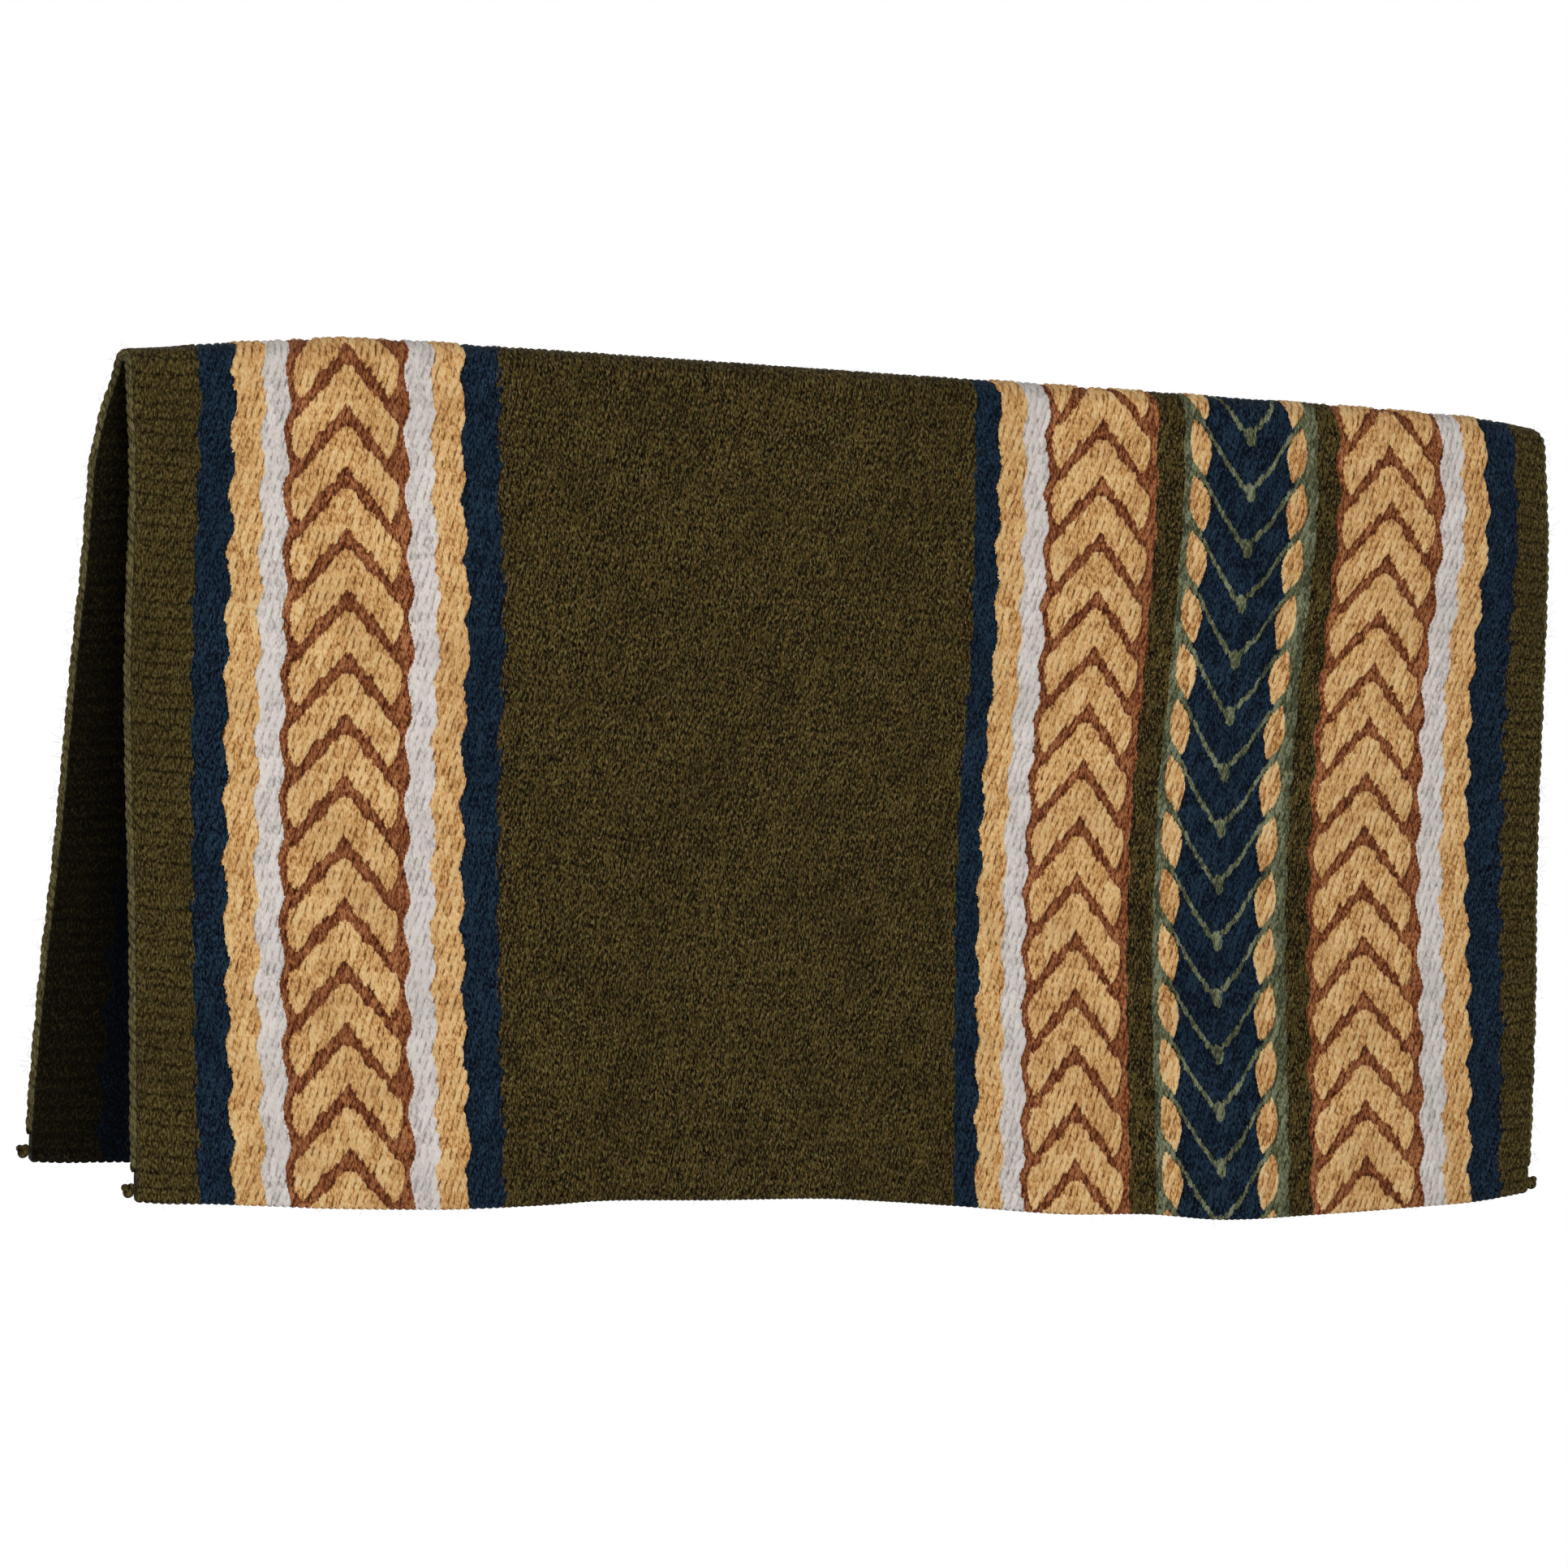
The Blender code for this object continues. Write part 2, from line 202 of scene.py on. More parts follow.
def tubes(centres, acrosses, ups, radius, sides):
    """Rings of points round each run of centres, with the faces that join them."""
    angle = np.linspace(0, 2 * pi, sides, endpoint=False)
    ring = acrosses[..., None, :] * np.cos(angle)[:, None]
    ring = ring + ups[..., None, :] * np.sin(angle)[:, None]
    points = centres[..., None, :] + ring * np.asarray(radius)[..., None, None]
    runs, steps = centres.shape[:2]
    index = np.arange(runs * steps * sides).reshape(runs, steps, sides)
    turned = np.roll(index, -1, axis=2)
    quads = np.stack([index[:, :-1], turned[:, :-1], turned[:, 1:], index[:, 1:]], axis=-1).reshape(-1, 4)
    caps = []
    for end in (0, -1):
        first = np.broadcast_to(index[:, end, :1], (runs, sides - 2))
        caps.append(np.stack([first, index[:, end, 1:-1], index[:, end, 2:]], axis=-1))
    caps[0] = caps[0][..., ::-1]
    return points.reshape(-1, 3), quads, np.concatenate(caps).reshape(-1, 3)


def dyed_wool(name, dark, middle, light, fleck, gap_shade=0.35, fibre=1.0, fleck_share=0.35):
    """Wool yarn: streaky fibres and flecks, a tone for each float, drifts of dye, and painted shade where
    the crown attribute is low, in the gaps between floats.
    """
    material = bpy.data.materials.new(name)
    material.use_nodes = True
    tree = material.node_tree
    shader = tree.nodes["Principled BSDF"]

    def node(kind, **settings):
        made = tree.nodes.new(kind)
        for key, value in settings.items():
            setattr(made, key, value)
        return made

    def link(source, target):
        tree.links.new(source, target)

    place = node("ShaderNodeAttribute", attribute_name="place").outputs["Vector"]
    tone = node("ShaderNodeAttribute", attribute_name="tone").outputs["Fac"]
    crown = node("ShaderNodeAttribute", attribute_name="crown").outputs["Fac"]

    def noise(scale, detail, turn=0.0):
        mapping = node("ShaderNodeMapping")
        mapping.inputs["Scale"].default_value = scale
        mapping.inputs["Rotation"].default_value = (0, 0, turn)
        link(place, mapping.inputs["Vector"])
        texture = node("ShaderNodeTexNoise")
        texture.inputs["Scale"].default_value = 1
        texture.inputs["Detail"].default_value = detail
        link(mapping.outputs["Vector"], texture.inputs["Vector"])
        return texture.outputs["Fac"]

    def blend(factor, first, second):
        mix = node("ShaderNodeMix", data_type="RGBA")
        for value, number in ((factor, 0), (first, 6), (second, 7)):
            socket = mix.inputs[number]
            if isinstance(value, (tuple, float)):
                socket.default_value = value
            else:
                link(value, socket)
        return mix.outputs[2]

    def span(value, low, high, to_low, to_high):
        mapped = node("ShaderNodeMapRange")
        mapped.inputs["From Min"].default_value = low
        mapped.inputs["From Max"].default_value = high
        mapped.inputs["To Min"].default_value = to_low
        mapped.inputs["To Max"].default_value = to_high
        link(value, mapped.inputs["Value"])
        return mapped.outputs["Result"]

    def combine(kind, first, second):
        maths = node("ShaderNodeMath", operation=kind)
        for value, socket in ((first, maths.inputs[0]), (second, maths.inputs[1])):
            if isinstance(value, float):
                socket.default_value = value
            else:
                link(value, socket)
        return maths.outputs[0]

    streaks = noise((1150, 400, 300), 3.0, 0.27)
    hairs = noise((4200, 900, 300), 2.0, -0.2)
    drifts = noise((34, 34, 34), 2.0)
    flecks = noise((1000, 420, 300), 2.0, -0.35)
    level = combine("ADD", span(streaks, 0.35, 0.65, -fibre / 2, fibre / 2), tone)
    level = combine("ADD", level, span(hairs, 0.3, 0.7, -fibre / 5, fibre / 5))
    # Painted shade: where crown is low, the colour slides to the dark end of the ramp.
    level = combine("ADD", level, span(crown, 0.0, 0.9, -0.50, 0.08))
    ramp = node("ShaderNodeValToRGB")
    ramp.color_ramp.elements[0].color = (*dark, 1)
    ramp.color_ramp.elements[1].color = (*light, 1)
    ramp.color_ramp.elements.new(0.5).color = (*middle, 1)
    link(level, ramp.inputs["Fac"])
    # Painted shade: the colour is darkened towards the gap factor where crown is low.
    shade = span(crown, 0.05, 0.60, gap_shade, 1.0)
    warm = (fleck[0] * 1.15, fleck[1] * 0.92, fleck[2] * 0.95, 1)
    cool = (fleck[0] * 0.85, fleck[1] * 1.08, fleck[2] * 0.90, 1)
    tints = noise((420, 260, 300), 1.0, 0.9)
    hue = blend(span(tints, 0.42, 0.58, 0.0, 1.0), warm, cool)
    fleck_cover = combine("MULTIPLY", span(flecks, 0.54, 0.66, 0.0, fleck_share), shade)
    colour = blend(fleck_cover, ramp.outputs["Color"], hue)
    colour = blend(span(drifts, 0.4, 0.7, 0.0, 0.30), colour, (*[c * 0.62 for c in middle], 1))
    scale = node("ShaderNodeVectorMath", operation="SCALE")
    link(colour, scale.inputs[0])
    link(shade, scale.inputs["Scale"])
    link(scale.outputs[0], shader.inputs["Base Color"])

    bump = node("ShaderNodeBump")
    bump.inputs["Strength"].default_value = 0.6
    bump.inputs["Distance"].default_value = 0.0003
    link(combine("ADD", streaks, combine("MULTIPLY", hairs, 0.5)), bump.inputs["Height"])
    link(bump.outputs["Normal"], shader.inputs["Normal"])
    shader.inputs["Roughness"].default_value = 0.95
    shader.inputs["Specular IOR Level"].default_value = 0.05
    shader.inputs["Sheen Weight"].default_value = 0.05
    shader.inputs["Sheen Roughness"].default_value = 0.55
    return material


warp_wool = dyed_wool(
    "warp_wool", (0.28, 0.24, 0.18), (0.42, 0.36, 0.27), (0.55, 0.48, 0.37), (0.50, 0.42, 0.30))
warp_t = (np.arange(WARP_CORDS) + 0.5) * WARP_PITCH - FLAT_WIDTH / 2
warp_x = np.linspace(-WOVEN_END + WARP_END_ROOM, WOVEN_END - WARP_END_ROOM, WARP_STEPS)
grid_x, grid_share = np.meshgrid(warp_x, warp_t * 2 / FLAT_WIDTH)
grid_t = grid_share * (half_width(grid_x) - WARP_HEM_ROOM)
centres = hang(grid_x, grid_t, 0)
ups = hang(grid_x, grid_t, 1.0) - centres
acrosses = np.cross(np.gradient(centres, axis=1), ups)
acrosses /= np.linalg.norm(acrosses, axis=2, keepdims=True)
ups /= np.linalg.norm(ups, axis=2, keepdims=True)
radii = np.full(centres.shape[:2], WARP_RADIUS)
points, quads, triangles = tubes(centres, acrosses, ups, radii, WARP_SIDES)
warp = make_mesh("warp_cords", points, quads, triangles, [warp_wool])
carry(warp, "place", points)
carry(warp, "tone", np.full(len(points), 0.5))
carry(warp, "crown", np.ones(len(points)))
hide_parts("warp_sheet")
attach(warp, "root")


# Weft. Hand-dyed single-ply wool, beaten down until it hides the warp. It shows
# as short slanting floats, two cords high, each row a quarter of a float to the
# side of the last. Where two colours meet, they dovetail in little waves.
OLIVE, NAVY, GOLD, SILVER, RUST, SAGE = range(6)
yarns = [
    dyed_wool("olive_wool", (0.003, 0.002, 0.001), (0.024, 0.015, 0.003), (0.105, 0.073, 0.018),
              (0.240, 0.182, 0.070), gap_shade=0.12, fibre=1.6, fleck_share=0.8),
    dyed_wool("navy_wool", (0.001, 0.002, 0.005), (0.003, 0.010, 0.023), (0.018, 0.039, 0.066),
              (0.037, 0.068, 0.118), gap_shade=0.45, fibre=1.4, fleck_share=0.7),
    dyed_wool("gold_wool", (0.340, 0.125, 0.030), (0.775, 0.435, 0.160), (0.930, 0.685, 0.350),
              (0.920, 0.620, 0.295), gap_shade=0.12, fibre=0.8),
    dyed_wool("silver_wool", (0.460, 0.420, 0.400), (0.780, 0.710, 0.660), (0.900, 0.845, 0.795),
              (0.910, 0.860, 0.800), gap_shade=0.45, fibre=0.7),
    dyed_wool("rust_wool", (0.070, 0.014, 0.005), (0.270, 0.082, 0.028), (0.540, 0.230, 0.095),
              (0.480, 0.190, 0.075)),
    dyed_wool("sage_wool", (0.040, 0.046, 0.024), (0.137, 0.142, 0.070), (0.270, 0.300, 0.190),
              (0.250, 0.275, 0.180)),
]
STRIPES = (  # right edge in mm from the left end, yarn, half the sideways play of that edge in mm
    (36.3, OLIVE, 1.6), (55.3, NAVY, 1.8), (72.3, GOLD, 1.7), (86.6, SILVER, 1.6), (156.9, RUST, 1.85),
    (171.5, SILVER, 1.4), (188.7, GOLD, 1.5), (208.7, NAVY, 1.05), (488.3, OLIVE, 0.85), (502.6, NAVY, 1.3),
    (518.0, GOLD, 1.4), (531.8, SILVER, 1.5), (598.4, RUST, 0.85), (614.7, OLIVE, 0.5), (618.7, SAGE, 0.0),
    (633.2, GOLD, 0.0), (679.7, NAVY, 0.0), (695.7, GOLD, 0.0), (701.2, SAGE, 0.6), (715.8, OLIVE, 1.7),
    (789.0, RUST, 1.75), (804.1, SILVER, 1.4), (821.2, GOLD, 1.9), (841.3, NAVY, 0.9), (864.6, OLIVE, 0.0))
CHEVRON_STRIPES, SAGE_STRIPES = (4, 12, 20), (14, 18)
FIRST_PANEL_STRIPE, CENTRE_STRIPE, LAST_PANEL_STRIPE = 14, 16, 18
stripe_scale = LENGTH / 0.8646
stripe_edges = np.array([edge for edge, _, _ in STRIPES]) * 0.001 * stripe_scale - LENGTH / 2
stripe_yarns = np.array([yarn for _, yarn, _ in STRIPES])
stripe_play = np.array([play for _, _, play in STRIPES]) * 0.001
REPEAT_PLACES = np.array((-432, -396, -370, -224, 70, 166, 300, 432)) * 0.001
REPEAT_STARTS = np.array((-1.2, 3.2, 5.5, 9.8, 20.3, 22.5, 25.2, 27.0))
REPEAT = 32.0
ROWS = WARP_CORDS // 2
ROWS_IN_REPEAT = 4


def chance(i, j, seed):
    """A fixed random share for each float."""
    value = np.sin(i * 12.9898 + j * 78.233 + seed * 37.719) * 43758.5453
    return value - np.floor(value)


def repeat_length(x):
    """Length of the pattern's repeat in mm, a little shorter towards the right."""
    return 32.39 - 2.24 * x


def below(x, t, drop=0.0):
    """How far a place lies below the start of its pattern repeat, in mm of a 32 mm repeat."""
    part = (-t * 1000 - np.interp(x, REPEAT_PLACES, REPEAT_STARTS) - drop) / repeat_length(x)
    return REPEAT * (part - np.floor(part))


def row_line(x, row):
    """Flat place of a border between rows of floats, counted from the front hem to the back one."""
    hem = FLAT_WIDTH / 2
    start = through(REPEAT_PLACES, REPEAT_STARTS, x) * 0.001
    step = repeat_length(x) * 0.001 / ROWS_IN_REPEAT
    down = ROWS / 2 - row
    spare = hem - start - ROWS / 2 * step
    front = start + down * step + spare * np.clip(down * 2 / ROWS, 0, 1) ** 4
    back = hem * (-start / step - down) / (ROWS / 2 - start / step)
    return np.where(front > 0, -front, back)


def drift(x, t):
    part = below(x, t) / REPEAT
    saw = np.where(part < 0.36, 1 - part / 0.36, (part - 0.36) / 0.64)
    return 0.85 * saw * saw * (3 - 2 * saw) + 0.15 * saw - 0.5


def stripe_at(x, t):
    """Number of the stripe at a place of the flat cloth."""
    number = np.zeros(x.shape, dtype=int)
    for k in range(len(STRIPES) - 1):
        number += x > stripe_edges[k] + 2 * stripe_play[k] * drift(stripe_edges[k], t)
    return number


# A chevron's outline in mm: distance from the middle of its band, and fall from its peak.
CHEVRON_WIDTH, CHEVRON_AXIS, CHEVRON_DROP = 70.3, 0.495, 11.0
ARM_REACH_LEFT, ARM_REACH_RIGHT, ARM_BELLY = 30.6, 29.4, 1.4
ARM_TOP_LEFT = np.array((
    (0, 3, 7.5, 9.5, 15, 21.5, 23, 29, 32),
    (0, 0.5, 5, 8, 13.5, 19, 22.5, 27, 30)))
ARM_TOP_RIGHT = np.array((
    (0, 3, 7.5, 9.7, 15.6, 21.5, 22.6, 28, 31),
    (0, 0.5, 5, 9.3, 14.3, 20, 23.6, 27.6, 31)))
ARM_LOW_LEFT = np.array((
    (0, 6, 8, 12, 15, 20.5, 22, 26, 28.5, 32),
    (20.5, 28.7, 29.2, 34.3, 34.6, 42.5, 45, 50, 49, 43)))
ARM_LOW_RIGHT = np.array((
    (0, 5.4, 11.5, 13, 18.3, 20, 24.2, 27, 31),
    (20.5, 27, 34.4, 33, 42, 42.5, 50.5, 48.5, 40)))


def chevron(x, t, k):
    """Gold arrowheads with rust between them, their arms ending below in drop-shaped fingers."""
    left, right = stripe_edges[k - 1] * 1000, stripe_edges[k] * 1000
    axis = left + CHEVRON_AXIS * (right - left)
    off = (x * 1000 - axis) * CHEVRON_WIDTH / (right - left)
    far = np.abs(off)
    top = np.where(off > 0, np.interp(far, *ARM_TOP_RIGHT), np.interp(far, *ARM_TOP_LEFT))
    low = np.where(off > 0, np.interp(far, *ARM_LOW_RIGHT), np.interp(far, *ARM_LOW_LEFT))
    length = repeat_length(axis * 0.001)
    down = below(axis * 0.001, t, CHEVRON_DROP) * length / REPEAT
    down = down - length * np.floor((down - top) / length)
    belly = np.sin(pi * np.clip((down - top) / (low - top), 0, 1))
    reach = np.where(off > 0, ARM_REACH_RIGHT, ARM_REACH_LEFT) + ARM_BELLY * belly
    return np.where((down < low) & (far < reach), GOLD, RUST)


# The panel in mm: where each leaf's middle runs, and how low the sage line lies at each place.
PANEL_DROP = -5.5
LEAF_FALLS = np.array((0, 0.25, 0.5, 0.75, 1)) * REPEAT
LEFT_LEAF = np.array((1.8, 5.2, 6.4, 6.7, 9.2))
RIGHT_LEAF = np.array((10.8, 8.5, 7.5, 7.1, 4.3))
LEAF_HALF_WIDTH = 6.7
LINE_PLACES = np.array((182, 188, 195, 202, 209, 219, 222.5, 226.5, 238, 244, 248, 255, 262.5, 268))
LINE_DROPS = np.array((-6, -2.5, 3, 13.5, 23.5, 35.5, 39.5, 36, 24.5, 14.5, 8.5, 0.5, -5.5, -9))
LINE_HALF_WIDTH, LINE_BEAD = 2.5, 4.7
LINE_MIDDLE, LINE_GAP = 224.5, 2
DROP_MIDDLE, DROP_FALL, DROP_HALF_WIDTH, DROP_HALF_HEIGHT = 224.3, 7.5, 3.2, 5.8


def panel_yarn(x, t, number):
    """Two columns of leaning gold leaves, and sage lines that meet in a drop between them."""
    mm = x * 1000
    down = below(x, t, PANEL_DROP)
    sage_stripe = np.isin(number, SAGE_STRIPES)
    yarn = np.where(sage_stripe, SAGE, stripe_yarns[number])
    for inside, edge, leaf, navy_right in (
            (number < CENTRE_STRIPE, stripe_edges[FIRST_PANEL_STRIPE], LEFT_LEAF, True),
            (number > CENTRE_STRIPE, stripe_edges[CENTRE_STRIPE], RIGHT_LEAF, False)):
        across = mm - edge * 1000 - np.interp(down, LEAF_FALLS, leaf)
        gold = np.abs(across) < LEAF_HALF_WIDTH * np.sin(pi * down / REPEAT) ** 0.85
        ground = np.where(((across > 0) == navy_right) & ~sage_stripe, NAVY, SAGE)
        yarn = np.where(inside, np.where(gold, GOLD, ground), yarn)
    apart = (down - np.interp(mm, LINE_PLACES, LINE_DROPS) + REPEAT / 2) % REPEAT - REPEAT / 2
    beads = np.abs(np.sin(pi * (mm - 224) / LINE_BEAD)) ** 0.5
    strand = LINE_HALF_WIDTH * (0.35 + 0.65 * beads)
    yarn = np.where((np.abs(apart) < strand) & (np.abs(mm - LINE_MIDDLE) > LINE_GAP), SAGE, yarn)
    fall = (down - DROP_FALL + REPEAT / 2) % REPEAT - REPEAT / 2
    round_half = DROP_HALF_WIDTH * np.sqrt(np.maximum(1 - (fall / DROP_HALF_HEIGHT) ** 2, 0))
    drop = round_half * (1 - 0.03 * fall)
    return np.where(np.abs(mm - DROP_MIDDLE - 0.08 * fall) < drop, SAGE, yarn)


def yarn_at(x, t):
    """Number of the yarn that shows at a place of the flat cloth."""
    number = stripe_at(x, t)
    yarn = stripe_yarns[number]
    for k in CHEVRON_STRIPES:
        yarn = np.where(number == k, chevron(x, t, k), yarn)
    in_panel = (number >= FIRST_PANEL_STRIPE) & (number <= LAST_PANEL_STRIPE)
    return np.where(in_panel, panel_yarn(x, t, number), yarn)


def rounding(t, edge):
    """Share of the full thickness near a hem, where the cloth turns over its last warp."""
    near = np.clip((edge - np.abs(t)) / (THICKNESS / 2), 0, 1)
    return np.sqrt(1 - (1 - near) ** 2 * 0.92)


def face_grid(index):
    """Faces between the points of a grid."""
    corners = [index[:-1, :-1], index[1:, :-1], index[1:, 1:], index[:-1, 1:]]
    return np.stack(corners, axis=-1).reshape(-1, 4)


def rim(fine, coarse):
    """Faces between an edge of 2n steps and one of n steps."""
    quads = np.stack([fine[1:-1:2], fine[2::2], coarse[1:], coarse[:-1]], axis=-1)
    return quads, np.stack([fine[0:-1:2], fine[1::2], coarse[:-1]], axis=-1)


def soften(values, times):
    """Mean of each four neighbours, times over; every pass adds one row and column."""
    for _ in range(times):
        values = np.pad(values, 1, mode="edge")
        values = (values[:-1, :-1] + values[1:, :-1] + values[:-1, 1:] + values[1:, 1:]) / 4
    return values


STAND = np.array((0.0, -0.20, 0.45, 0.15, -0.55, 0.35)) * 0.001  # how proud each yarn lies of the cloth
FLOAT_LEAN, FLOAT_WIDTH, ROW_STEP = 0.27, 0.58, 0.25
FINE = 8  # steps of the mesh across and down each float
HEM_BUMP, HEM_BUMP_REACH = 0.0013, 0.006
OUTER_FACE, INNER_FACE = (1.0, 1.0), (0.25, 0.20)  # relief, and crown: the inner face is painted dark as shade
FLAT_SEAM = 0.498  # share of the flat map's width that each face takes


def floats(across, down, pick, high, seed):
    """The uppermost float at each place: its height, the grooves at its sides, its cell and row.

    Across and down count floats and rows; every float is a leaning drop that
    starts a quarter of its width to the side of the one in the row before.
    """
    def level(i, j):
        dy = (down - j - 0.5 + 0.40 * (chance(i, j, seed + 1) - 0.5)) * high
        dx = (across + ROW_STEP * j - i + 0.36 * (chance(i, j, seed + 2) - 0.5)) * pick
        dx = dx - dy * (FLOAT_LEAN + 0.24 * (chance(i, j, seed + 3) - 0.5))
        wide = FLOAT_WIDTH * pick * (1 + 0.5 * np.clip(dy / high, -1, 1))
        return 1 + 0.30 * (chance(i, j, seed + 4) - 0.5) - (dx / wide) ** 2 - (dy / high) ** 2, dy

    best = np.full(across.shape, -9.0)
    off = np.zeros(across.shape)
    cell = np.zeros(across.shape, dtype=int)
    row = np.zeros(across.shape, dtype=int)
    for up in (-1, 0, 1):
        j = np.floor(down).astype(int) + up
        for step in (-1, 0, 1):
            i = np.floor(across + ROW_STEP * j + 0.5).astype(int) + step
            here, dy = level(i, j)
            higher = here > best
            best = np.where(higher, here, best)
            off = np.where(higher, dy, off)
            cell = np.where(higher, i, cell)
            row = np.where(higher, j, row)
    beside = np.maximum(level(cell - 1, row)[0], level(cell + 1, row)[0])
    groove = np.clip(1.1 - (best - beside) / 0.95, 0, 1)
    groove = groove * np.clip(1.2 - (off / (0.56 * high)) ** 2, 0, 1)
    return best, groove * (0.60 + 0.55 * chance(cell, row, seed + 5)), cell, row


def weave(name, nodes, first, last, pick, relief, rib=0.0, follow=1.0, contrast=0.5, seed=1):
    """One stretch of cloth, from its first stripe to its last: both faces, hems and sides.

    Pick is a float's width, relief the depth between floats and rib the height
    of a rib. Follow says how far a colour keeps to whole floats.
    """
    left = max(stripe_edges[first - 1] if first else -1, -WOVEN_END)
    right = min(stripe_edges[last], WOVEN_END)
    picks = int(round((right - left) / pick))
    pick = (right - left) / picks
    rng = np.random.default_rng(seed)

    c, r = np.meshgrid(np.arange(FINE * picks + 1), np.arange(FINE * ROWS + 1), indexing="ij")
    across, down = c / FINE, r / FINE
    best, trench, cell, float_row = floats(across, down, pick, FLAT_WIDTH / ROWS, seed)
    height = np.clip(0.35 + 0.65 * best, 0, 1.2) - 0.35 * trench
    # Painted shade: darker in the grooves between floats and towards the edges of each float.
    outline = (1 - (0.3 if rib else 0.85) * trench) * np.clip(0.55 + 0.55 * best, 0.4, 1)

    loose = rng.uniform(-1, 1, (2, picks + 2, ROWS + 2))
    loose[:, 0] = loose[:, -2] = loose[:, -1] = 0
    rough = rng.uniform(-1, 1, (2,) + c.shape) * 0.0002
    inner = (c > 0) & (c < FINE * picks)
    calm = np.clip(np.minimum(r, FINE * ROWS - r) / (2 * FINE), 0, 1)
    x = left + (across + 0.10 * between(loose[0], across, down)) * pick + rough[0] * inner
    t = row_line(x, down + 0.10 * calm * between(loose[1], across, down)) + rough[1] * calm
    share = t * 2 / FLAT_WIDTH
    share[:, 0] = -1
    share[:, -1] = 1
    near_hem = np.clip(1 - (1 - np.abs(share)) * FLAT_WIDTH / 2 / HEM_BUMP_REACH, 0, 1)
    dent = HEM_BUMP * (1 - np.abs(np.sin(pi * c / FINE)) ** 0.7) * near_hem
    share -= np.sign(share) * dent * 2 / FLAT_WIDTH
    real_t = share * half_width(x)

    face_cell, face_row = cell[:-1, :-1], float_row[:-1, :-1]
    middle_x = left + (face_cell - ROW_STEP * face_row) * pick
    middle_t = row_line(middle_x, face_row + 0.5)
    face_x = (x[:-1, :-1] + x[1:, 1:]) / 2 * (1 - follow) + middle_x * follow
    face_t = (t[:-1, :-1] + t[1:, 1:]) / 2 * (1 - follow) + middle_t * follow
    face_yarn = yarn_at(face_x, face_t)
    face_tone = 0.5 + contrast * (chance(face_cell, face_row, 7) - 0.5)
    face_tone -= 0.15 * np.isin(stripe_at(face_x, face_t), SAGE_STRIPES)
    stand = soften(STAND[face_yarn], 3)[1:-1, 1:-1]
    # Painted shade: yarn lying lower than its neighbours, such as rust beside gold, is darkened through
    # crown.
    sunk = np.clip((soften(STAND[face_yarn], 13)[6:-6, 6:-6] - stand) / 0.00030, 0, 1)

    ridge = np.sin(pi * (down % 1)) ** 0.5 if rib else np.ones(c.shape)
    points, places, painted_shade_levels, quads, slots, tones, edges = [], [], [], [], [], [], []
    start = 0
    # The inner face's crown share gives it painted shade all over.
    for side, step, (deep, painted_face_shade) in ((1, 1, OUTER_FACE), (-1, 2, INNER_FACE)):
        part_x, part_t, part_real, tall, crest, proud, hidden, lit = (
            whole[::step, ::step] for whole in (x, t, real_t, height, ridge, stand, sunk, outline))
        slim = rounding(part_real, half_width(part_x))
        lift = THICKNESS / 2 * slim - relief * deep * (0.75 - tall) - rib * (0.6 - crest) + proud * slim
        points.append(hang(part_x, part_real, side * lift).reshape(-1, 3))
        layer = np.full(part_x.shape, side * 0.01)
        places.append(np.stack([part_x, part_t, layer], axis=-1).reshape(-1, 3))
        # Crown levels carry painted shade: lower in grooves, in rib valleys, beside prouder yarns and on the
        # inner face.
        painted_shade_levels.append((lit * (0.45 + 0.55 * crest) * (1 - 0.75 * hidden) * painted_face_shade).ravel())
        index = start + np.arange(part_x.size).reshape(part_x.shape)
        start += part_x.size
        grid = face_grid(index)
        quads.append(grid if side > 0 else grid[:, ::-1])
        slots.append(face_yarn[::step, ::step].ravel())
        tones.append(face_tone[::step, ::step].ravel())
        edges.append(index)
    top, low = edges
    pad_yarn = np.pad(face_yarn, ((0, 1), (0, 1)), mode="edge")
    pad_tone = np.pad(face_tone, ((0, 1), (0, 1)), mode="edge")
    triangles, extra_slots, extra_tones = [], [], []
    every = slice(None)
    for line, turned in (((every, 0), False), ((every, -1), True), ((0, every), True), ((-1, every), False)):
        four, three = rim(top[line], low[line])
        quads.append(four[:, ::-1] if turned else four)
        triangles.append(three[:, ::-1] if turned else three)
        slots.append(pad_yarn[line][1:-1:2])
        tones.append(pad_tone[line][1:-1:2])
        extra_slots.append(pad_yarn[line][0:-1:2])
        extra_tones.append(pad_tone[line][0:-1:2])
    cloth = make_mesh(name, np.concatenate(points), np.concatenate(quads), np.concatenate(triangles), yarns,
                      np.concatenate(slots + extra_slots))
    outer_x, inner_x = ((v.ravel() - left) / (right - left) * FLAT_SEAM for v in (x, x[::2, ::2]))
    map_x = np.concatenate([outer_x, 1 - inner_x])
    map_t = np.concatenate([t.ravel(), t[::2, ::2].ravel()]) / FLAT_WIDTH + 0.5
    flat_map(cloth, np.clip(np.stack([map_x, map_t], axis=1), 0, 1), top.size)
    carry(cloth, "place", np.concatenate(places))
    carry(cloth, "tone", np.concatenate(tones + extra_tones), "FACE")
    carry(cloth, "crown", np.concatenate(painted_shade_levels))
    for node in nodes:
        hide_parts(node)
    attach(cloth, "root")
    return cloth


# Left end band. Plain olive, with the weft beaten over pairs of warps so that
# it stands in ribs along the fold's direction.
ribbed_wool = dyed_wool(
    "ribbed_olive_wool", (0.006, 0.004, 0.001), (0.040, 0.027, 0.006), (0.105, 0.076, 0.021),
    (0.200, 0.155, 0.058), gap_shade=0.25, fibre=1.2, fleck_share=0.75)
left_end = weave("ribbed_end_band_left", ["olive_end_band_left"], 0, 0, 0.0040, 0.0004,
                 rib=0.0008, contrast=0.25, seed=11)
left_end.data.materials[OLIVE] = ribbed_wool

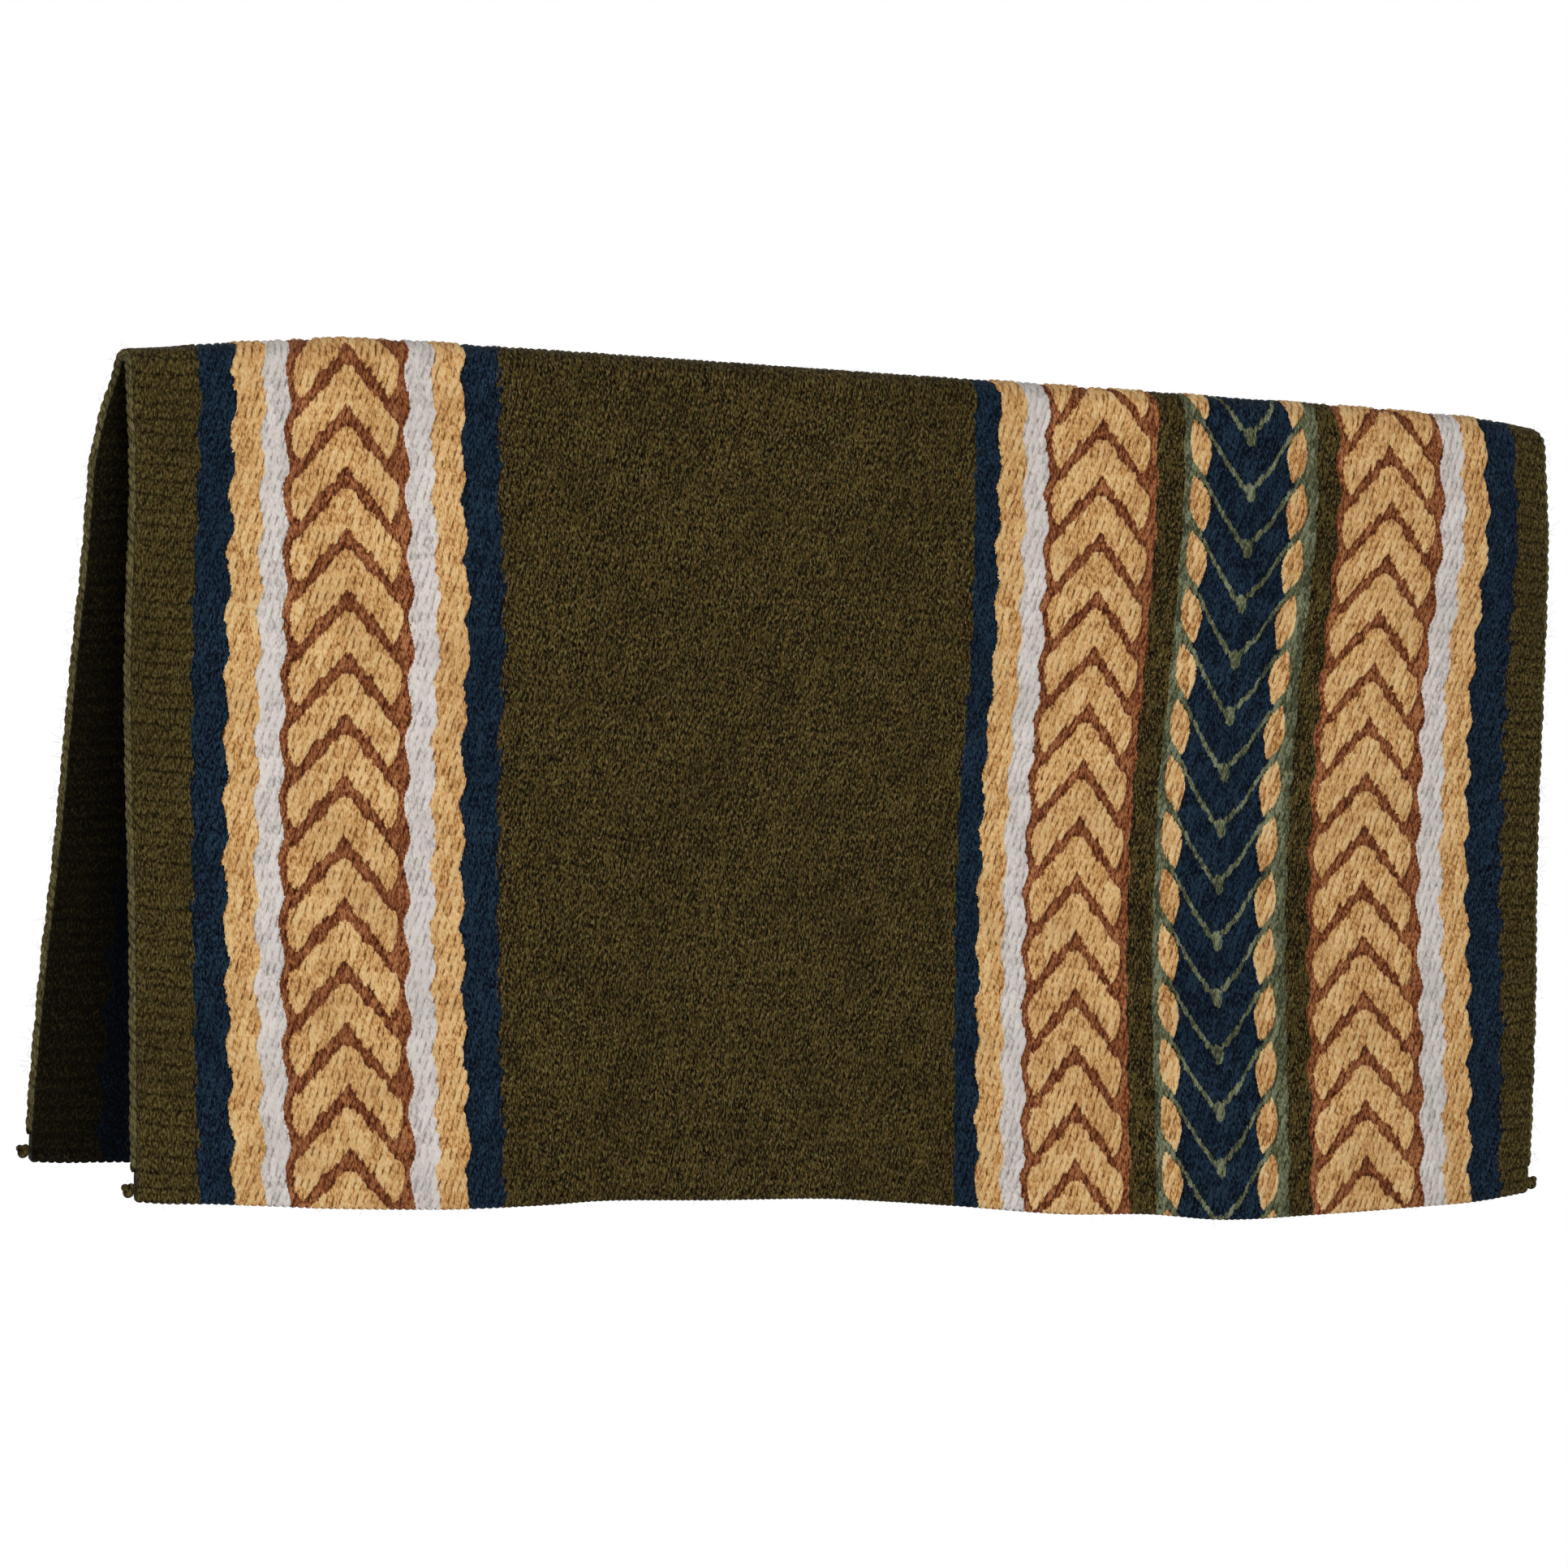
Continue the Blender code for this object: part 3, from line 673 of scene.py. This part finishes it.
# Left border. Navy, gold and silver stripes on both sides of the first
# chevron band, their edges dovetailed in waves about eight warps long.
left_border = weave(
    "left_border",
    ["navy_band_1", "gold_band_1", "silver_band_1", "chevron_band_1", "silver_band_2", "gold_band_2",
     "navy_band_2"],
    1, 7, 0.0043, 0.0016, follow=0.2, seed=21)

# Field. One wide run of heathered olive wool between the borders. Its floats are
# narrower and flatter than those of the stripes.
field = weave("olive_field_cloth", ["olive_field"], 8, 8, 0.0036, 0.0013, contrast=0.45, seed=31)

# Middle border. Navy, gold and silver stripes and the second chevron band, woven
# in after the field.
middle_border = weave("middle_border", ["navy_band_3", "gold_band_3", "silver_band_3", "chevron_band_2"],
                      9, 12, 0.0043, 0.0016, follow=0.2, seed=41)

# Diamond panel. Olive and sage stripes, two columns of gold diamonds that lean
# like leaves, and between them a navy ground where sage lines meet in a drop.
panel = weave(
    "diamond_panel",
    ["olive_band_1", "sage_band_1", "lozenge_band_1", "navy_centre_band", "lozenge_band_2", "sage_band_2",
     "olive_band_2"],
    13, 19, 0.0040, 0.0014, follow=0.1, contrast=0.8, seed=51)

# Right border. The third chevron band, then silver, gold and navy stripes, with
# the same waved edges.
right_border = weave("right_border", ["chevron_band_3", "silver_band_4", "gold_band_4", "navy_band_4"],
                     20, 23, 0.0043, 0.0016, follow=0.2, seed=61)

# Right end band. The narrower ribbed band, in the same olive wool as the left
# one.
right_end = weave("ribbed_end_band_right", ["olive_end_band_right"], 24, 24, 0.0040, 0.0004,
                  rib=0.0008, contrast=0.25, seed=71)
right_end.data.materials[OLIVE] = ribbed_wool


# End cords. Two thick olive plies are twined round the loops of the warp at
# each end, so they stand in small bumps and draw the edge in at every turn.
CORD_LAY = 0.0110
CORD_TURN = 0.0265
CORD_STEPS, CORD_SIDES = 900, 10
CORD_BUMP = 0.0006
KNOT_ROOM = 0.016
# Cord wool: the olive yarn painted much lighter, as painted rim light along the ends.
rim_lit_olive_wool = dyed_wool(
    "rim_lit_olive_wool", (0.016, 0.012, 0.003), (0.070, 0.055, 0.017), (0.220, 0.185, 0.075),
    (0.250, 0.215, 0.100), gap_shade=0.25, fibre=1.2, fleck_share=0.7)


def end_cord(name, node, side):
    """Two plies laid round each other, from knot to knot along one woven end."""
    edge = side * WOVEN_END
    reach = half_width(np.array([edge]))[0] - KNOT_ROOM
    t = np.linspace(-reach, reach, CORD_STEPS)
    bulge = CORD_BUMP * np.abs(np.sin(pi * t / CORD_TURN)) ** 0.7
    core = CORD_WIDTH / 2
    plies = []
    for ply in (0, 1):
        angle = 2 * pi * t / CORD_LAY + pi * ply + 0.5 * np.sin(t * 90)
        lift = core * 0.55 * np.cos(angle)
        out = side * (core * 0.20 + bulge + core * 0.45 * np.sin(angle))
        plies.append(hang(np.full(CORD_STEPS, edge), t, lift) + np.stack([out, out * 0, out * 0], axis=-1))
    centres = np.stack(plies)
    along = np.gradient(centres, axis=1)
    along /= np.linalg.norm(along, axis=2, keepdims=True)
    across = np.broadcast_to(np.array([1.0, 0, 0]), along.shape)
    up = np.cross(across, along)
    up /= np.linalg.norm(up, axis=2, keepdims=True)
    across = np.cross(along, up)
    size = core * (0.95 + 0.06 * np.sin(t * 500) + 0.05 * np.sin(t * 211 + 1))
    ends = np.clip((reach - np.abs(t)) / 0.004, 0.15, 1) ** 0.5
    points, quads, triangles = tubes(centres, across, up, np.stack([size * ends] * 2), CORD_SIDES)
    cord = make_mesh(name, points, quads, triangles, [rim_lit_olive_wool])
    from_axis = points.reshape(2, CORD_STEPS, CORD_SIDES, 3) - np.mean(centres, axis=0)[None, :, None]
    from_axis = np.linalg.norm(from_axis, axis=3).ravel() / core
    lay = np.repeat(np.stack([t, t + 1]).reshape(-1), CORD_SIDES)
    angle = np.tile(np.linspace(0, 0.018, CORD_SIDES), 2 * CORD_STEPS)
    carry(cord, "place", np.stack([angle + 0.35 * lay, lay, lay * 0], axis=-1))
    carry(cord, "tone", 0.55 + 0.125 * np.sin(lay * 400))
    # Painted shade in the grooves between the two plies.
    carry(cord, "crown", np.clip((from_axis - 0.75) / 0.6, 0, 1))
    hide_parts(node)
    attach(cord, "root")


end_cord("twined_end_cord_left", "end_cord_left", -1)
end_cord("twined_end_cord_right", "end_cord_right", 1)


# Corner knots. Each end of a cord is tied in one tight knot close to the corner
# and trimmed, so that it can't run back into the edge.
KNOT_STEPS, KNOT_SIDES = 90, 8
KNOT_YARN = 0.0016
KNOT_FROM_HEM, KNOT_FROM_END = 0.0065, 0.0040


def corner_knot(name, node, side, flap):
    """A closed loop of yarn that crosses itself three times, just off its corner of the cloth."""
    edge = side * WOVEN_END
    t = flap * (half_width(np.array([edge]))[0] - KNOT_FROM_HEM)
    centre = hang(np.array([edge]), np.array([t]), np.array([0.0]))[0]
    centre = centre + np.array([side * KNOT_FROM_END, 0, 0])
    turns = np.linspace(0, 2 * pi, KNOT_STEPS)
    loop = np.stack([
        (np.sin(turns) + 2 * np.sin(2 * turns)) * 0.0009,
        (np.cos(turns) - 2 * np.cos(2 * turns)) * 0.0009,
        -np.sin(3 * turns) * 0.0012], axis=-1)
    path = centre + loop @ np.array([[1, 0, 0], [0, 0.3, 0.95], [0, -0.95, 0.3]])
    along = np.gradient(path, axis=0)
    along /= np.linalg.norm(along, axis=1, keepdims=True)
    across = np.cross(along, np.array([0.3, 0.9, 0.31]))
    across /= np.linalg.norm(across, axis=1, keepdims=True)
    up = np.cross(along, across)
    radii = np.full((1, KNOT_STEPS), KNOT_YARN)
    points, quads, triangles = tubes(path[None], across[None], up[None], radii, KNOT_SIDES)
    knot = make_mesh(name, points, quads, triangles, [yarns[OLIVE]])
    carry(knot, "place", points)
    carry(knot, "tone", np.full(len(points), 0.45))
    carry(knot, "crown", np.ones(len(points)))
    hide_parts(node)
    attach(knot, "root")


for side_name, side in (("left", -1), ("right", 1)):
    for flap_name, flap in (("front", -1), ("back", 1)):
        corner_knot(f"knot_{flap_name}_{side_name}", f"corner_knot_{flap_name}_{side_name}", side, flap)


# Loose fibres. Single wool hairs stand out of the yarn everywhere, most of
# them where the cloth is bent or rubbed: along the fold, the hems and the ends.
FIBRE_COUNT, FIBRE_SEED = 7600, 5
FIBRE_STEPS, FIBRE_SIDES = 5, 3
FIBRE_RADIUS = 0.000045
AT_FOLD, AT_HEMS, AT_ENDS = 0.22, 0.34, 0.86


def loose_fibres(count, seed):
    """Short curved hairs, each in the colour of the yarn it comes from."""
    rng = np.random.default_rng(seed)
    x = rng.uniform(-WOVEN_END, WOVEN_END, count)
    t = rng.uniform(-1, 1, count)
    kind = rng.uniform(0, 1, count)
    t = np.where(kind < AT_FOLD, rng.normal(0, 0.016, count), t)
    t = np.where((kind > AT_FOLD) & (kind < AT_HEMS), np.sign(t) * rng.uniform(0.99, 1, count), t)
    ends = kind > AT_ENDS
    x = np.where(ends, np.sign(x) * (WOVEN_END + rng.uniform(0, 0.004, count)), x)
    real_t = t * half_width(x)
    face = np.where(ends | (kind < AT_HEMS), rng.choice((-1, 1), count, p=(0.2, 0.8)), 1)
    roots = hang(x, real_t, face * THICKNESS * 0.42)
    out = hang(x, real_t, face * 0.01) - hang(x, real_t, face * 0.005)
    out /= np.linalg.norm(out, axis=1, keepdims=True)
    sideways = np.where(ends, np.sign(x), 0)
    hanging = np.where(np.abs(t) > 0.985, -1.0, 0)
    out = out + np.stack([sideways, np.zeros(count), hanging], axis=1)
    along = rng.normal(0, 1, (count, 3)) * (0.8, 0.8, 1.2)
    along -= out * np.sum(along * out, axis=1, keepdims=True)
    along /= np.linalg.norm(along, axis=1, keepdims=True)
    bend = rng.normal(0, 1, (count, 3))
    steps = np.linspace(0, 1, FIBRE_STEPS)[None, :, None]
    length = rng.uniform(0.0016, 0.0050, count)[:, None, None]
    rise = rng.uniform(0.15, 0.55, count)[:, None, None]
    curve = along[:, None] * steps + out[:, None] * rise * steps * (1.3 - steps * 0.6)
    curve = curve + bend[:, None] * 0.14 * steps ** 2
    paths = roots[:, None] + length * curve
    runs = np.gradient(paths, axis=1)
    runs /= np.linalg.norm(runs, axis=2, keepdims=True)
    across = np.cross(runs, rng.normal(0, 1, (count, 1, 3)))
    across /= np.linalg.norm(across, axis=2, keepdims=True)
    radii = np.array([[1, 0.9, 0.8, 0.6, 0.3]]) * FIBRE_RADIUS * np.ones((count, 1))
    points, quads, triangles = tubes(paths, across, np.cross(runs, across), radii, FIBRE_SIDES)
    yarn = np.where(ends, OLIVE, yarn_at(np.clip(x, -WOVEN_END, WOVEN_END), t * FLAT_WIDTH / 2))
    cap_yarns = np.repeat(yarn, len(triangles) // count // 2)
    slots = np.concatenate([np.repeat(yarn, len(quads) // count), cap_yarns, cap_yarns])
    fibres = make_mesh("loose_fibres", points, quads, triangles, yarns, slots)
    carry(fibres, "place", points)
    carry(fibres, "tone", np.repeat(rng.uniform(0.6, 1.3, count), FIBRE_STEPS * FIBRE_SIDES))
    carry(fibres, "crown", np.ones(len(points)))
    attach(fibres, "root")


loose_fibres(FIBRE_COUNT, FIBRE_SEED)


# Studio. A white floor and backdrop, a broad lamp before the front flap, a weak
# one off the left end and one behind. The camera stands left of the front flap.
FLOOR_HALF, FLOOR_HEIGHT = 6, -0.80


def plain_white(name):
    """Matt white that the camera and shiny things see as plain white."""
    material = bpy.data.materials.new(name)
    material.use_nodes = True
    tree = material.node_tree
    shader = tree.nodes["Principled BSDF"]
    shader.inputs["Base Color"].default_value = (0.85, 0.85, 0.85, 1)
    shader.inputs["Roughness"].default_value = 0.9
    glow = tree.nodes.new("ShaderNodeEmission")
    glow.inputs["Color"].default_value = (1, 1, 1, 1)
    path = tree.nodes.new("ShaderNodeLightPath")
    seen = tree.nodes.new("ShaderNodeMath")
    seen.operation = "MAXIMUM"
    tree.links.new(path.outputs["Is Camera Ray"], seen.inputs[0])
    tree.links.new(path.outputs["Is Glossy Ray"], seen.inputs[1])
    mix = tree.nodes.new("ShaderNodeMixShader")
    tree.links.new(seen.outputs[0], mix.inputs[0])
    tree.links.new(shader.outputs[0], mix.inputs[1])
    tree.links.new(glow.outputs[0], mix.inputs[2])
    tree.links.new(mix.outputs[0], tree.nodes["Material Output"].inputs["Surface"])
    return material


floor_mesh = bpy.data.meshes.new("floor")
floor_corners = [
    (x * FLOOR_HALF, y * FLOOR_HALF, FLOOR_HEIGHT) for x, y in ((-1, -1), (1, -1), (1, 1), (-1, 1))]
floor_mesh.from_pydata(floor_corners, [], [(0, 1, 2, 3)])
floor_mesh.materials.append(plain_white("studio_white"))
floor = bpy.data.objects.new("floor", floor_mesh)
bpy.context.scene.collection.objects.link(floor)

world = bpy.data.worlds.new("studio")
bpy.context.scene.world = world
world.use_nodes = True
sky_tree = world.node_tree
sky = sky_tree.nodes["Background"]
sky.inputs["Color"].default_value = (1, 1, 1, 1)
sky_path = sky_tree.nodes.new("ShaderNodeLightPath")
sky_level = sky_tree.nodes.new("ShaderNodeMapRange")
sky_seen = sky_tree.nodes.new("ShaderNodeMath")
sky_seen.operation = "MAXIMUM"
sky_tree.links.new(sky_path.outputs["Is Camera Ray"], sky_seen.inputs[0])
sky_tree.links.new(sky_path.outputs["Is Glossy Ray"], sky_seen.inputs[1])
sky_level.inputs["To Min"].default_value = 0.13
sky_level.inputs["To Max"].default_value = 1.0
sky_tree.links.new(sky_seen.outputs[0], sky_level.inputs["Value"])
sky_tree.links.new(sky_level.outputs["Result"], sky.inputs["Strength"])

CAMERA_TURN, CAMERA_RISE, CAMERA_ROLL = radians(-24.3), radians(4.36), radians(3.97)
CAMERA_AIM = Vector((-0.0331, 0, -0.228))
CAMERA_DISTANCE = 3.13
SENSOR_WIDTH, PHOTO_PIXELS, FOCAL_PIXELS = 36, 1932, 6848.6
back = Vector((sin(CAMERA_TURN) * cos(CAMERA_RISE), -cos(CAMERA_TURN) * cos(CAMERA_RISE), sin(CAMERA_RISE)))
right_way = (-back).cross(Vector((0, 0, 1))).normalized()
up_way = right_way.cross(-back)
rolled_right = right_way * cos(CAMERA_ROLL) + up_way * sin(CAMERA_ROLL)
rolled_up = up_way * cos(CAMERA_ROLL) - right_way * sin(CAMERA_ROLL)
camera_data = bpy.data.cameras.new("camera")
camera_data.sensor_width = SENSOR_WIDTH
camera_data.lens = SENSOR_WIDTH * FOCAL_PIXELS / PHOTO_PIXELS
camera = bpy.data.objects.new("camera", camera_data)
camera_turn = Matrix((rolled_right, rolled_up, back)).transposed()
camera.matrix_world = Matrix.Translation(CAMERA_AIM + back * CAMERA_DISTANCE) @ camera_turn.to_4x4()
bpy.context.scene.collection.objects.link(camera)
bpy.context.scene.camera = camera


def softbox(name, place, aim, size, power):
    """A flat lamp of soft light, turned to face its aim."""
    lamp = bpy.data.lights.new(name, "AREA")
    lamp.shape = "RECTANGLE"
    lamp.size, lamp.size_y = size
    lamp.energy = power
    item = bpy.data.objects.new(name, lamp)
    item.location = place
    item.rotation_euler = (Vector(aim) - Vector(place)).to_track_quat("-Z", "Y").to_euler()
    bpy.context.scene.collection.objects.link(item)


softbox("front_lamp", (-0.60, -2.3, 0.80), (0, 0, -0.2), (1.0, 1.0), 37.5)
softbox("edge_lamp", (-2.4, 0.9, 0.5), (-0.3, 0, -0.2), (1.2, 1.6), 5)
softbox("back_lamp", (-0.9, 2.2, 0.9), (0, 0, -0.2), (1.0, 1.0), 18)
